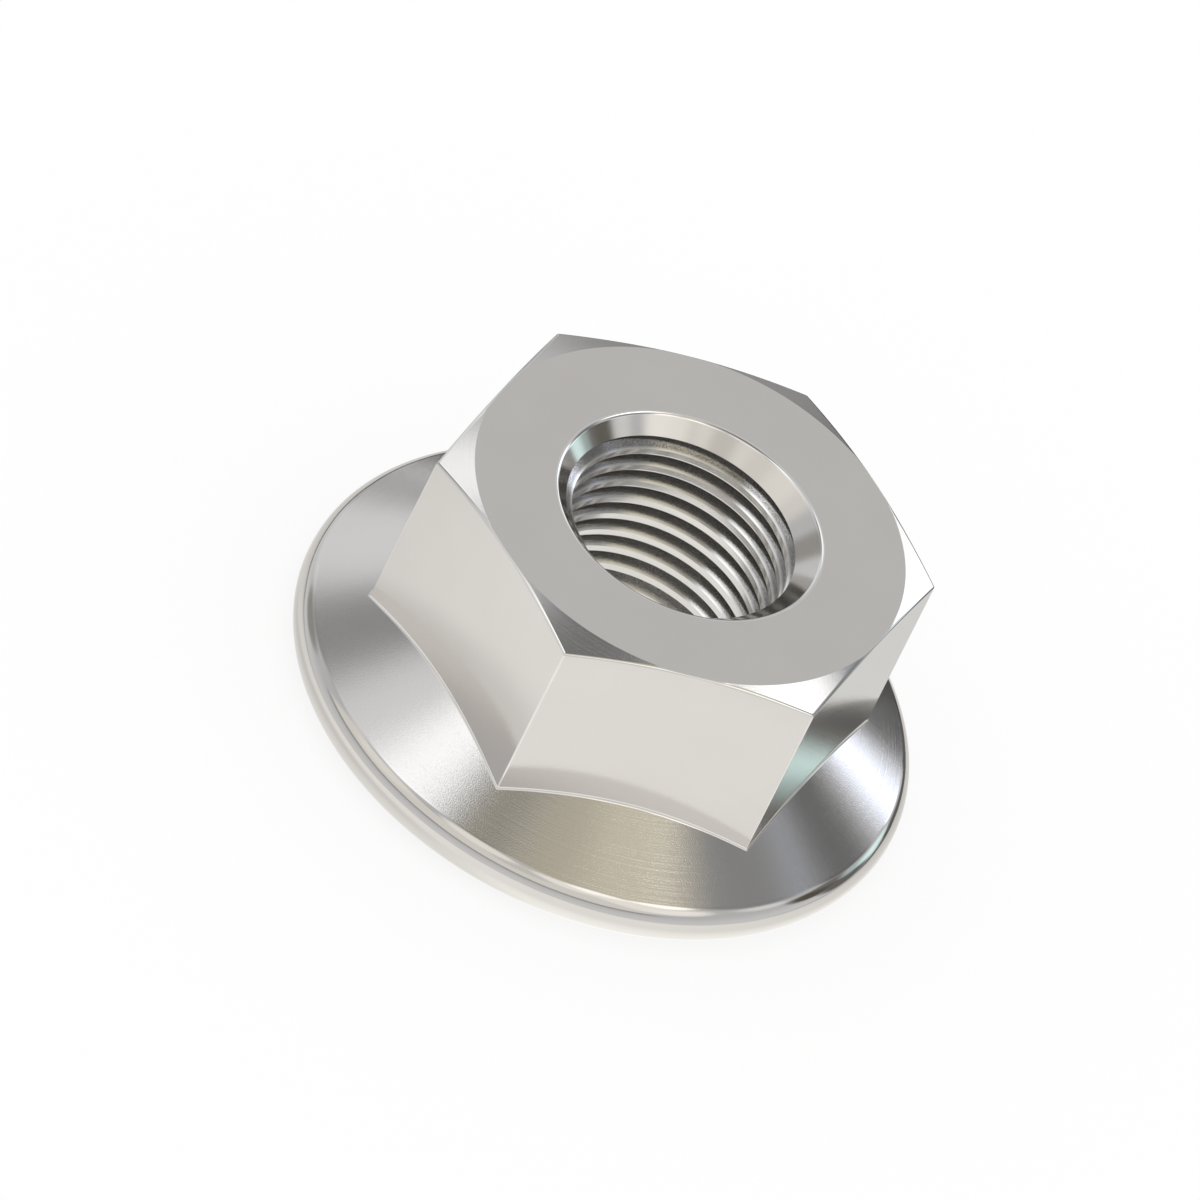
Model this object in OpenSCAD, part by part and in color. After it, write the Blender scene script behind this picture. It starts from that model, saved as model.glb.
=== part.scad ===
// Serrated flange nut of the metric 6 mm size, made from one piece of steel.
// The origin is the centre of the bearing face, and the thread's axis points along +Z.

/* [Hexagon] */
// Width of the hexagon across its flats
across_flats = 10; // [8:0.1:12]
// Height of the whole nut, from the bearing face to the top land
nut_height = 6.3; // [4:0.1:10]
// How far the round top land stops short of the flats
crown_inset = 0.01; // [0:0.01:0.5]
// Slope of the turned crown that takes off the top corners, in degrees
crown_angle = 20; // [10:1:35]
// Radius of the six upright edges
corner_radius = 0.05; // [0.02:0.01:0.4]

/* [Flange] */
// Outer diameter of the flange
flange_d = 14.2; // [14:0.1:20]
// Thickness of the flange's full-round rim
rim_thickness = 1.2; // [0.8:0.05:1.6]
// Slope of the cone that rises from the rim to the hexagon, in degrees
cone_angle = 30; // [15:1:35]

/* [Thread] */
// Nominal diameter of the thread
thread_d = 6; // [4:0.1:7.2]
// How far the crests of the thread stand in from its nominal diameter
thread_depth = 0.45; // [0.2:0.01:0.8]
// How much wider than the thread the countersink in the top land is
top_countersink_extra = 0.12; // [0.04:0.02:1]
// How much wider than the thread the countersink on the bearing side is
base_countersink_extra = 0.5; // [0.04:0.02:0.7]
// Slope of both countersinks, measured from the face, in degrees
countersink_angle = 45; // [20:1:60]
// Width of the fine bevel round the mouth of each countersink, on either side of the edge
edge_break = 0.06; // [0.01:0.01:0.1]

/* [Serrations] */
// Number of ratchet teeth round the bearing face
tooth_count = 30; // [20:1:40]
// Depth at which the two faces of a gap would meet, at the outer edge of the ring of teeth
tooth_depth = 0.28; // [0.15:0.01:0.4]
// Radius in the root of each gap
tooth_root_radius = 0.06; // [0.02:0.01:0.1]
// Radial length of the teeth
tooth_length = 2.1; // [1:0.05:2.2]
// Width of the plain ring between the teeth and the rounding of the rim
plain_ring = 0.1; // [0.05:0.01:0.5]
// Width of each flat crest, at the outer edge of the ring of teeth
tooth_crest = 0.2; // [0.1:0.01:0.4]
// Slope of the steep face that bites when the nut turns back, in degrees
tooth_face_angle = 75; // [60:1:85]
// Slope of the conical walls that end the gaps and the relief, in degrees
tooth_end_angle = 45; // [30:1:70]
// Depth of the relief between the teeth and the bore
relief_depth = 0.3; // [0.1:0.01:0.6]

/* [Hidden] */
$fn = 96;

// Cutters run this far past the faces that they open
overrun = 1;
// The teeth's cutters run this far past the bearing face, so that neighbours stay apart
tooth_overrun = 0.02;
// The cone of the flange runs on this far inside the flats, where the hexagon hides it
cone_overlap = 0.5;
hexagon_sides = 6;

flat_r = across_flats / 2;
corner_r = flat_r / cos(180 / hexagon_sides);
top_land_r = flat_r - crown_inset;

rim_r = rim_thickness / 2;
rim_centre_r = flange_d / 2 - rim_r;
// The cone leaves the rim where the two are tangent
cone_foot_r = rim_centre_r + rim_r * sin(cone_angle);
cone_foot_z = rim_r + rim_r * cos(cone_angle);
cone_head_r = flat_r - cone_overlap;
cone_head_z = cone_foot_z + (cone_foot_r - cone_head_r) * tan(cone_angle);

bore_r = thread_d / 2 - thread_depth;
top_mouth_r = (thread_d + top_countersink_extra) / 2;
base_mouth_r = (thread_d + base_countersink_extra) / 2;

ring_outer_r = rim_centre_r - plain_ring;
ring_inner_r = ring_outer_r - tooth_length;
tooth_pitch = 2 * PI * ring_outer_r / tooth_count;
face_run = tooth_depth / tan(tooth_face_angle);
ramp_run = tooth_pitch - tooth_crest - face_run;
ramp_angle = atan(tooth_depth / ramp_run);
// Half of the angle between the two faces of a gap, and the slope of the line that halves it
root_half_angle = (180 - tooth_face_angle - ramp_angle) / 2;
root_axis_angle = (tooth_face_angle - ramp_angle) / 2 - 90;
// Every gap deepens away from the axis, so its edges and its root all aim at the origin
gap_tilt = atan(tooth_depth / ring_outer_r);

// A hexagon of the given width whose corners are true arcs
module rounded_hexagon(width, radius) {
    side = width * tan(180 / hexagon_sides) - 2 * radius * tan(180 / hexagon_sides);
    arc_centre_r = (width / 2 - radius) / cos(180 / hexagon_sides);
    for (i = [0 : hexagon_sides / 2 - 1])
        rotate(i * 360 / hexagon_sides + 180 / hexagon_sides)
            square([width, side], center = true);
    for (i = [0 : hexagon_sides - 1])
        rotate(i * 360 / hexagon_sides)
            translate([arc_centre_r, 0])
                circle(r = radius);
}

// The outline that the crown is turned to: a flat land, then a cone down past the corners
module crown_envelope() {
    reach_r = corner_r + overrun;
    fall = (reach_r - top_land_r) * tan(crown_angle);
    rotate_extrude()
        polygon([
            [0, 0],
            [reach_r, 0],
            [reach_r, nut_height - fall],
            [top_land_r, nut_height],
            [0, nut_height]
        ]);
}

// The hexagon with its turned crown, from the middle of the rim up
module hexagon_head() {
    intersection() {
        translate([0, 0, rim_r])
            linear_extrude(nut_height - rim_r + overrun)
                rounded_hexagon(across_flats, corner_radius);
        crown_envelope();
    }
}

// The flange: a full-round rim that the cone leaves at a tangent
module flange() {
    rotate_extrude() {
        polygon([
            [0, 0],
            [rim_centre_r, 0],
            [cone_foot_r, cone_foot_z],
            [cone_head_r, cone_head_z],
            [0, cone_head_z]
        ]);
        translate([rim_centre_r, rim_r])
            circle(r = rim_r);
    }
}

// A countersink that opens upwards from z = 0, for the given radius at its mouth. A fine bevel
// breaks the edge between the cone and the face.
module countersink(mouth_r) {
    depth = (mouth_r - bore_r) * tan(countersink_angle);
    break_r = mouth_r - edge_break * cos(countersink_angle);
    break_depth = edge_break * sin(countersink_angle);
    rotate_extrude()
        polygon([
            [0, -depth],
            [bore_r, -depth],
            [break_r, -break_depth],
            [mouth_r + edge_break, 0],
            [mouth_r + edge_break, overrun],
            [0, overrun]
        ]);
}

// The bore at the crests of the thread, with a countersink at each end
module bore() {
    translate([0, 0, -overrun])
        cylinder(r = bore_r, h = nut_height + 2 * overrun);
    translate([0, 0, nut_height])
        countersink(top_mouth_r);
    translate([0, 0, relief_depth])
        mirror([0, 0, 1])
            countersink(base_mouth_r);
}

// A cone on the bearing face that narrows upwards at the slope of the gaps' end walls
module drafted_disc(radius, below, above) {
    translate([0, 0, -below])
        cylinder(
            r1 = radius + below / tan(tooth_end_angle),
            r2 = radius - above / tan(tooth_end_angle),
            h = below + above
        );
}

// Section of a gap, with the point where its two faces would meet at the origin. An arc that both
// faces touch rounds the root.
module gap_section() {
    reach = tooth_depth + tooth_overrun;
    arc_start = tooth_root_radius / tan(root_half_angle);
    arc_centre = tooth_root_radius / sin(root_half_angle);
    polygon([
        arc_start * [-cos(tooth_face_angle), -sin(tooth_face_angle)],
        [-face_run * reach / tooth_depth, -reach],
        [ramp_run * reach / tooth_depth, -reach],
        arc_start * [cos(ramp_angle), -sin(ramp_angle)]
    ]);
    translate(arc_centre * [cos(root_axis_angle), sin(root_axis_angle)])
        circle(r = tooth_root_radius);
}

// One gap between two teeth. Its steep face looks anticlockwise from above, so it bites as the
// nut turns back, and its ramp rises the other way, so it slides as the nut is tightened.
module tooth_gap() {
    intersection() {
        rotate([0, -gap_tilt, 0])
            rotate([90, 0, 90])
                translate([0, 0, ring_inner_r - overrun])
                    linear_extrude(tooth_length + 2 * overrun)
                        gap_section();
        drafted_disc(ring_outer_r, tooth_overrun, tooth_depth + tooth_overrun);
    }
}

// The ring of gaps that leaves the ratchet teeth standing on the bearing face
module serrations() {
    for (i = [0 : tooth_count - 1])
        rotate(i * 360 / tooth_count)
            tooth_gap();
}

module flange_nut() {
    color("silver")
        difference() {
            union() {
                hexagon_head();
                flange();
            }
            bore();
            drafted_disc(ring_inner_r, overrun, relief_depth);
            serrations();
        }
}

flange_nut();
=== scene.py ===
"""Looks of the serrated flange nut: its visual mesh, its steel finishes, the studio and the camera.

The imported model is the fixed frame. One piece, nut_body, stands for its one node. It has what the
solid leaves out: the thread in the bore, and the fine rounding of the edges.
Lengths in the dataclasses are in millimetres, and the finished mesh is scaled to metres.
"""

import logging
import math
from dataclasses import dataclass, field
from enum import Enum, IntEnum

import bmesh
import bpy
from mathutils import Matrix, Vector


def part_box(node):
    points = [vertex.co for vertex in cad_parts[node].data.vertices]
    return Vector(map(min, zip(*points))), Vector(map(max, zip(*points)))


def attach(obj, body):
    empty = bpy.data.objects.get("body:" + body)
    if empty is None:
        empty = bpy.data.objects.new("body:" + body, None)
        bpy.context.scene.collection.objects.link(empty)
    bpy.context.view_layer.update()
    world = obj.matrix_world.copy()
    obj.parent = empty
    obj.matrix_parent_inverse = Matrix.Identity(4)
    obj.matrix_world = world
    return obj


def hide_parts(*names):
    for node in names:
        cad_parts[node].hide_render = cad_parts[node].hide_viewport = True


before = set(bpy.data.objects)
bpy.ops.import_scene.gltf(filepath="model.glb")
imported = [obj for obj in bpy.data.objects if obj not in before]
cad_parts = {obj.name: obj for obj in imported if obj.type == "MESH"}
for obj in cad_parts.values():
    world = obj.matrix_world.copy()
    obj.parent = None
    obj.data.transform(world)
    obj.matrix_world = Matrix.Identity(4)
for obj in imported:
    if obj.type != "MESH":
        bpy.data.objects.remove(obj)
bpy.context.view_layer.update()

NODE = "flange_nut"
MM = 0.001
FULL_TURN = 2 * math.pi
HEXAGON_SIDES = 6
SECTOR = FULL_TURN / HEXAGON_SIDES
# Points nearer to each other than this, in millimetres, are one point
WELD = 1e-6
# A place or a direction that is multiplied by this loses its height
LEVEL = (1, 1, 0)
LOG = logging.getLogger("flange_nut")


class Face(IntEnum):
    """The surfaces of the nut, by how each was made. The number is the face's material slot."""

    DRAWN = 0
    TURNED = 1
    ROLLED = 2
    BROKEN_EDGE = 3
    TAPPED = 4
    SUNK = 5
    PRESSED = 6
    FACED = 7


def lathe(
    outline: list[tuple[float, float]], faces: list[Face], columns: int
) -> bmesh.types.BMesh:
    """Spins an open outline about the z axis.

    Args:
        outline: radius and height of each point, from one pole to the other.
        faces: the surface of each stretch between two points.
        columns: how many steps the full turn has.

    Returns:
        The closed shape. Its vertices keep the number of their point in the layer "ring".
    """
    shape = bmesh.new()
    ring = shape.verts.layers.int.new("ring")
    points = [shape.verts.new((radius, 0, height)) for radius, height in outline]
    for number, point in enumerate(points):
        point[ring] = number
    edges = [shape.edges.new(pair) for pair in zip(points, points[1:])]
    bmesh.ops.spin(
        shape, geom=points + edges, cent=(0, 0, 0), axis=(0, 0, 1), dvec=(0, 0, 0),
        angle=FULL_TURN, steps=columns, use_merge=True, use_duplicate=False,
    )
    bmesh.ops.remove_doubles(shape, verts=shape.verts, dist=WELD)
    bmesh.ops.recalc_face_normals(shape, faces=shape.faces)
    for face in shape.faces:
        face.material_index = faces[max(corner[ring] for corner in face.verts) - 1]
    return shape


def rounded(
    start: tuple[float, float], edge: tuple[float, float], end: tuple[float, float], steps: int
) -> list[tuple[float, float]]:
    """Points of a small curve that takes the place of an edge in a section.

    Args:
        start: where the curve leaves the first surface.
        edge: the edge itself.
        end: where the curve meets the second surface.
        steps: how many stretches the curve has.

    Returns:
        The points, with start and end among them.
    """
    points = []
    for step in range(steps + 1):
        share = step / steps
        weights = ((1 - share) ** 2, 2 * share * (1 - share), share**2)
        pulls = list(zip(weights, (start, edge, end)))
        points.append(tuple(
            sum(weight * place[axis] for weight, place in pulls) for axis in (0, 1)
        ))
    return points


def from_corner(angle: float) -> float:
    """The angle between a direction from the axis and the nearest corner of the hexagon."""
    return abs((angle + SECTOR / 2) % SECTOR - SECTOR / 2)


def as_object(shape: bmesh.types.BMesh, name: str) -> bpy.types.Object:
    """Turns a bmesh into an object with one material slot for each surface.

    The bmesh tools don't keep their points and faces in the same order from run to run, so both
    are sorted by where they lie. Every run then gives the same nut.

    Args:
        shape: the bmesh, which is freed.
        name: the object's name.

    Returns:
        The new object, linked to the scene.
    """
    corners = sorted(shape.verts, key=lambda corner: tuple(corner.co))
    numbers = {corner: number for number, corner in enumerate(corners)}
    outlines = sorted(
        ([numbers[corner] for corner in face.verts], face.material_index) for face in shape.faces
    )
    mesh = bpy.data.meshes.new(name)
    for _ in Face:
        mesh.materials.append(None)
    mesh.from_pydata([corner.co for corner in corners], [], [outline for outline, _ in outlines])
    mesh.polygons.foreach_set("material_index", [kind for _, kind in outlines])
    shape.free()
    made = bpy.data.objects.new(name, mesh)
    bpy.context.scene.collection.objects.link(made)
    return made


def cut(body: bpy.types.Object, cutter: bpy.types.Object, operation: str = "DIFFERENCE") -> None:
    """Cuts a body with another, applies the result and removes the cutter.

    Args:
        body: the object that is changed.
        cutter: a closed object.
        operation: DIFFERENCE, or INTERSECT to keep what both hold.
    """
    modifier = body.modifiers.new(cutter.name, "BOOLEAN")
    modifier.operation = operation
    modifier.object = cutter
    modifier.solver = "MANIFOLD"
    bpy.context.view_layer.update()
    graph = bpy.context.evaluated_depsgraph_get()
    result = bpy.data.meshes.new_from_object(body.evaluated_get(graph), depsgraph=graph)
    body.modifiers.clear()
    old, body.data = body.data, result
    bpy.data.meshes.remove(old)
    mesh = cutter.data
    bpy.data.objects.remove(cutter)
    bpy.data.meshes.remove(mesh)


@dataclass
class Blank:
    """The forged and turned blank: hexagon, crown, cone and rim, with its fine edges rounded.

    The crown's rounding grows from wall_rounding, where the hexagon meets the land, by
    rounding_growth for each millimetre further out, up to crown_rounding. The land stops short of
    it by its size divided by land_divisor. A face counts as upright when its normal rises less
    than upright.
    """

    height: float
    flange_d: float
    across_flats: float = 10.0
    crown_inset: float = 0.01
    crown_angle: float = 20.0
    corner_radius: float = 0.05
    crown_rounding: float = 0.09
    wall_rounding: float = 0.04
    foot_rounding: float = 0.05
    rounding_growth: float = 0.4
    land_divisor: float = 10.0
    rim_thickness: float = 1.2
    cone_angle: float = 30.0
    columns: int = 240
    rounding_steps: int = 5
    rim_steps: int = 24
    corner_columns: int = 2
    upright: float = 0.5

    def __post_init__(self) -> None:
        """Works out the radii and heights that follow from the driving sizes."""
        self.flat_r = self.across_flats / 2
        self.land_r = self.flat_r - self.crown_inset
        self.rim_r = self.rim_thickness / 2
        self.rim_centre_r = self.flange_d / 2 - self.rim_r
        self.crown_slope = math.radians(self.crown_angle)
        self.cone_slope = math.radians(self.cone_angle)
        self.cone_foot_r = self.rim_centre_r + self.rim_r * math.sin(self.cone_slope)
        self.cone_foot_z = self.rim_r + self.rim_r * math.cos(self.cone_slope)
        half = math.pi / HEXAGON_SIDES
        self.arc_centre_r = (self.flat_r - self.corner_radius) / math.cos(half)
        self.arc_end = math.atan2(
            self.corner_radius * math.sin(half),
            self.arc_centre_r + self.corner_radius * math.cos(half),
        )

    def column_angle(self, column: int) -> float:
        """The angle of a column. Columns crowd at the corners, so that their arcs are round.

        Args:
            column: number of the column, from 0 at the corner on the x axis.

        Returns:
            Its angle in radians.
        """
        per_sector = self.columns // HEXAGON_SIDES
        corner = round(column / per_sector)
        offset = column - corner * per_sector
        away = abs(offset)
        if away <= self.corner_columns:
            turn = self.arc_end * away / self.corner_columns
        else:
            share = (away - self.corner_columns) / (per_sector / 2 - self.corner_columns)
            turn = self.arc_end + (SECTOR / 2 - self.arc_end) * share
        return corner * SECTOR + math.copysign(turn, offset)

    def hexagon_r(self, angle: float) -> float:
        """Distance from the axis to the wall of the hexagon, whose corners are arcs.

        Args:
            angle: direction from the axis, in radians.

        Returns:
            The distance.
        """
        away = from_corner(angle)
        if away >= self.arc_end:
            return self.flat_r / math.cos(SECTOR / 2 - away)
        sine = self.arc_centre_r * math.sin(away)
        return self.arc_centre_r * math.cos(away) + math.sqrt(self.corner_radius**2 - sine**2)

    def crown_z(self, radius: float) -> float:
        """Height of the crown at a distance from the axis, or of the land inside it."""
        return self.height - max(0.0, radius - self.land_r) * math.tan(self.crown_slope)

    def cone_z(self, radius: float) -> float:
        """Height of the flange's cone at a distance from the axis."""
        return self.cone_foot_z + (self.cone_foot_r - radius) * math.tan(self.cone_slope)

    def section(self, angle: float) -> list[tuple[float, float]]:
        """The outline of the blank in one direction, from the top pole down to the lower one.

        Args:
            angle: direction from the axis, in radians.

        Returns:
            Radius and height of each ring.
        """
        wall_r = self.hexagon_r(angle)
        grown = self.wall_rounding + self.rounding_growth * (wall_r - self.land_r)
        roll = min(self.crown_rounding, grown)
        top_r = wall_r - roll * math.cos(self.crown_slope)
        crown = (wall_r, self.crown_z(wall_r))
        foot = (wall_r, self.cone_z(wall_r))
        out_r = wall_r + self.foot_rounding * math.cos(self.cone_slope)
        land_r = min(self.land_r, top_r - roll / self.land_divisor)
        crown_curve = rounded(
            (top_r, self.crown_z(top_r)), crown, (wall_r, crown[1] - self.wall_rounding),
            self.rounding_steps,
        )
        foot_curve = rounded(
            (wall_r, foot[1] + self.foot_rounding), foot, (out_r, self.cone_z(out_r)),
            self.rounding_steps,
        )
        points = [(0.0, self.height), (land_r, self.height), *crown_curve, *foot_curve]
        start = math.pi / 2 - self.cone_slope
        sweep = math.pi - self.cone_slope
        for step in range(self.rim_steps + 1):
            turn = start - step / self.rim_steps * sweep
            points.append((
                self.rim_centre_r + self.rim_r * math.cos(turn),
                self.rim_r + self.rim_r * math.sin(turn),
            ))
        points.append((0.0, 0.0))
        return points

    def surfaces(self) -> list[Face]:
        """The surfaces along the section.

        Returns:
            The surface of each stretch between two of its points.
        """
        rounding = [Face.BROKEN_EDGE] * self.rounding_steps
        return [
            Face.FACED, Face.TURNED, *rounding, Face.DRAWN, *rounding,
            Face.TURNED, *[Face.ROLLED] * self.rim_steps, Face.PRESSED,
        ]

    def build(self) -> bmesh.types.BMesh:
        """Spins the section and then shapes each column to the hexagon.

        Returns:
            The closed blank, with its surfaces marked.
        """
        shape = lathe(self.section(0.0), self.surfaces(), self.columns)
        ring = shape.verts.layers.int["ring"]
        sections = [self.section(self.column_angle(column)) for column in range(self.columns)]
        for corner in shape.verts:
            number = corner[ring]
            turns = math.atan2(corner.co.y, corner.co.x) / FULL_TURN
            column = round(turns * self.columns) % self.columns
            angle = self.column_angle(column)
            radius, height = sections[column][number]
            corner.co = (radius * math.cos(angle), radius * math.sin(angle), height)
        shape.normal_update()
        for face in shape.faces:
            centre = face.calc_center_median()
            in_corner = from_corner(math.atan2(centre.y, centre.x)) < self.arc_end
            level = face.normal.z > math.cos(self.crown_slope / 2)
            stands = abs(face.normal.z) < self.upright
            if face.material_index == Face.TURNED and level:
                face.material_index = Face.FACED
            elif face.material_index == Face.DRAWN and stands and in_corner:
                face.material_index = Face.BROKEN_EDGE
        return shape


@dataclass
class Thread:
    """The tapped thread, as the rod that is taken out of the blank."""

    pitch: float = 0.52
    crest_r: float = 2.55
    root_r: float = 2.8
    crest_width: float = 0.165
    flank_run: float = 0.144
    edge_break: float = 0.03
    edge_slope: float = 15.0
    start_z: float = -0.89
    turns: int = 15
    columns: int = 180
    weld: float = 1e-4

    def build(self) -> bmesh.types.BMesh:
        """Screws one pitch of the profile up the axis and closes both ends.

        Returns:
            The closed rod.
        """
        lean = math.tan(math.radians(self.edge_slope))
        flank = (self.root_r - self.crest_r) / self.flank_run
        drop = self.edge_break * lean / (flank - lean)
        out_r = self.crest_r + flank * drop
        profile = [
            (out_r, -drop),
            (self.crest_r, self.edge_break),
            (self.crest_r, self.crest_width),
            (self.root_r, self.crest_width + self.flank_run),
            (self.root_r, self.pitch - self.flank_run),
            (out_r, self.pitch - drop),
        ]
        rod = bmesh.new()
        points = [rod.verts.new((radius, 0, self.start_z + rise)) for radius, rise in profile]
        edges = [rod.edges.new(pair) for pair in zip(points, points[1:])]
        bmesh.ops.spin(
            rod, geom=points + edges, cent=(0, 0, 0), axis=(0, 0, 1),
            dvec=(0, 0, self.pitch / self.columns), angle=FULL_TURN, steps=self.columns,
            use_merge=False, use_duplicate=False,
        )
        turn = list(rod.verts) + list(rod.edges) + list(rod.faces)
        for number in range(1, self.turns):
            copy = bmesh.ops.duplicate(rod, geom=turn)["geom"]
            raised = [item for item in copy if isinstance(item, bmesh.types.BMVert)]
            bmesh.ops.translate(rod, vec=(0, 0, self.pitch * number), verts=raised)
        bmesh.ops.remove_doubles(rod, verts=rod.verts, dist=self.weld)
        end_z = self.start_z + self.pitch * (self.turns + 1)
        middle = self.start_z + self.pitch * (self.turns + 1) / 2
        rims = [edge for edge in rod.edges if edge.is_boundary]
        for low in (True, False):
            rim = [edge for edge in rims if (edge.verts[0].co.z < middle) == low]
            spread = bmesh.ops.extrude_edge_only(rod, edges=rim)["geom"]
            centre = [item for item in spread if isinstance(item, bmesh.types.BMVert)]
            pole = (0, 0, self.start_z if low else end_z)
            bmesh.ops.pointmerge(rod, verts=centre, merge_co=pole)
        bmesh.ops.recalc_face_normals(rod, faces=rod.faces)
        for face in rod.faces:
            face.material_index = Face.TAPPED
        return rod


@dataclass
class Countersinks:
    """The lathe tools that open both ends of the bore and the relief inside the teeth."""

    height: float
    angle: float = 45.0
    edge_break: float = 0.06
    edge_steps: int = 4
    top_mouth_r: float = 3.06
    base_mouth_r: float = 3.25
    tip_r: float = 2.4
    overrun: float = 1.0
    relief_depth: float = 0.3
    relief_r: float = 4.3
    columns: int = 240

    def mouth(self, radius: float, face_z: float, up: int) -> list[tuple[float, float]]:
        """Section of a countersink, from its tip to the rounding of its mouth.

        Args:
            radius: radius of the mouth, without its rounding.
            face_z: height of the face that the countersink opens in.
            up: 1 where it opens upwards and -1 where it opens downwards.

        Returns:
            Radius and height of each point.
        """
        slope = math.radians(self.angle)
        run = self.edge_break
        tip_z = face_z - up * (radius - self.tip_r) * math.tan(slope)
        start = (radius - run * math.cos(slope), face_z - up * run * math.sin(slope))
        curve = rounded(start, (radius, face_z), (radius + run, face_z), self.edge_steps)
        return [(self.tip_r, tip_z), *curve]

    def top(self) -> bmesh.types.BMesh:
        """The countersink in the top land.

        Returns:
            The closed tool that cuts it.
        """
        cone = self.mouth(self.top_mouth_r, self.height, 1)
        above = self.height + self.overrun
        section = [(0.0, cone[0][1]), *cone, (cone[-1][0], above), (0.0, above)]
        edge = [Face.BROKEN_EDGE] * self.edge_steps
        faces = [Face.SUNK, Face.SUNK, *edge, Face.SUNK, Face.SUNK]
        return lathe(section, faces, self.columns)

    def base(self) -> bmesh.types.BMesh:
        """The countersink on the bearing side, with the relief that runs out to the teeth.

        Returns:
            The closed tool that cuts both.
        """
        cone = self.mouth(self.base_mouth_r, self.relief_depth, -1)
        section = [
            (0.0, cone[0][1]),
            *cone,
            (self.relief_r - self.relief_depth, self.relief_depth),
            (self.relief_r + self.overrun, -self.overrun),
            (0.0, -self.overrun),
        ]
        edge = [Face.BROKEN_EDGE] * self.edge_steps
        faces = [Face.SUNK, Face.SUNK, *edge, Face.PRESSED, Face.SUNK, Face.PRESSED]
        return lathe(section, faces, self.columns)


@dataclass
class Serrations:
    """The ring of gaps that leaves the ratchet teeth standing on the bearing face.

    Every crest has its edges broken by edge_break. The break goes on along the ramp for
    ramp_break times that, and it widens by flare times that at the bearing face.
    """

    outer_r: float
    count: int = 30
    depth: float = 0.28
    length: float = 2.1
    crest: float = 0.2
    face_angle: float = 75.0
    edge_break: float = 0.025
    ramp_break: float = 3.0
    flare: float = 0.5
    root_rounding: float = 0.06
    root_steps: int = 3
    overrun: float = 0.02
    headroom: float = 0.1
    reach: float = 1.0
    columns: int = 240

    def gap(self) -> bmesh.types.BMesh:
        """One gap. All its edges aim at the origin, so it narrows and rises inwards.

        Returns:
            The closed gap.
        """
        pitch = FULL_TURN * self.outer_r / self.count
        steep = math.radians(self.face_angle)
        face_run = self.depth / math.tan(steep)
        ramp_run = pitch - self.crest - face_run
        ramp = math.atan2(self.depth, ramp_run)
        small = self.edge_break
        along = self.ramp_break * small
        section = [
            (0.0, self.depth),
            (-face_run + small / math.tan(steep), small),
            (-face_run - small * self.flare, 0.0),
            (-face_run - small, -self.overrun),
            (ramp_run + small * (1 + self.flare), -self.overrun),
            (ramp_run + small, 0.0),
            (ramp_run - along, along * math.tan(ramp)),
        ]
        shape = bmesh.new()
        ends = []
        for radius in (self.outer_r - self.length - self.reach, self.outer_r + self.reach):
            scale = radius / self.outer_r
            ends.append([shape.verts.new((radius, side * scale, up * scale)) for side, up in section])
            shape.faces.new(ends[-1])
        inner, outer = ends
        for number in range(len(section)):
            shape.faces.new((inner[number - 1], inner[number], outer[number], outer[number - 1]))
        bmesh.ops.recalc_face_normals(shape, faces=shape.faces)
        half_way = self.depth / self.outer_r / 2
        for face in shape.faces:
            rise = max(corner.co.z / corner.co.x for corner in face.verts)
            face.material_index = Face.BROKEN_EDGE if 0 < rise < half_way else Face.PRESSED
        root = shape.edges.get((inner[0], outer[0]))
        bmesh.ops.bevel(
            shape, geom=[root], offset=self.root_rounding, offset_type="OFFSET", affect="EDGES",
            segments=self.root_steps, profile=0.5, material=-1,
        )
        return shape

    def build(self) -> bpy.types.Object:
        """The whole ring of gaps, ended by a cone outside.

        Returns:
            The cutter.
        """
        ring = self.gap()
        one = list(ring.verts) + list(ring.edges) + list(ring.faces)
        for number in range(1, self.count):
            copy = bmesh.ops.duplicate(ring, geom=one)["geom"]
            turned = [item for item in copy if isinstance(item, bmesh.types.BMVert)]
            turn = Matrix.Rotation(FULL_TURN * number / self.count, 3, "Z")
            bmesh.ops.rotate(ring, cent=(0, 0, 0), matrix=turn, verts=turned)
        gaps = as_object(ring, "gaps")
        lip = self.edge_break
        top = self.depth + self.headroom
        below = -2 * self.overrun
        wall = [
            (0.0, top),
            (self.outer_r - top, top),
            (self.outer_r - lip, lip),
            (self.outer_r + lip / 2, 0.0),
            (self.outer_r + lip, below),
            (0.0, below),
        ]
        faces = [Face.SUNK, Face.SUNK, Face.BROKEN_EDGE, Face.BROKEN_EDGE, Face.PRESSED]
        cut(gaps, as_object(lathe(wall, faces, self.columns), "gap_ends"), "INTERSECT")
        return gaps


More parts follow.
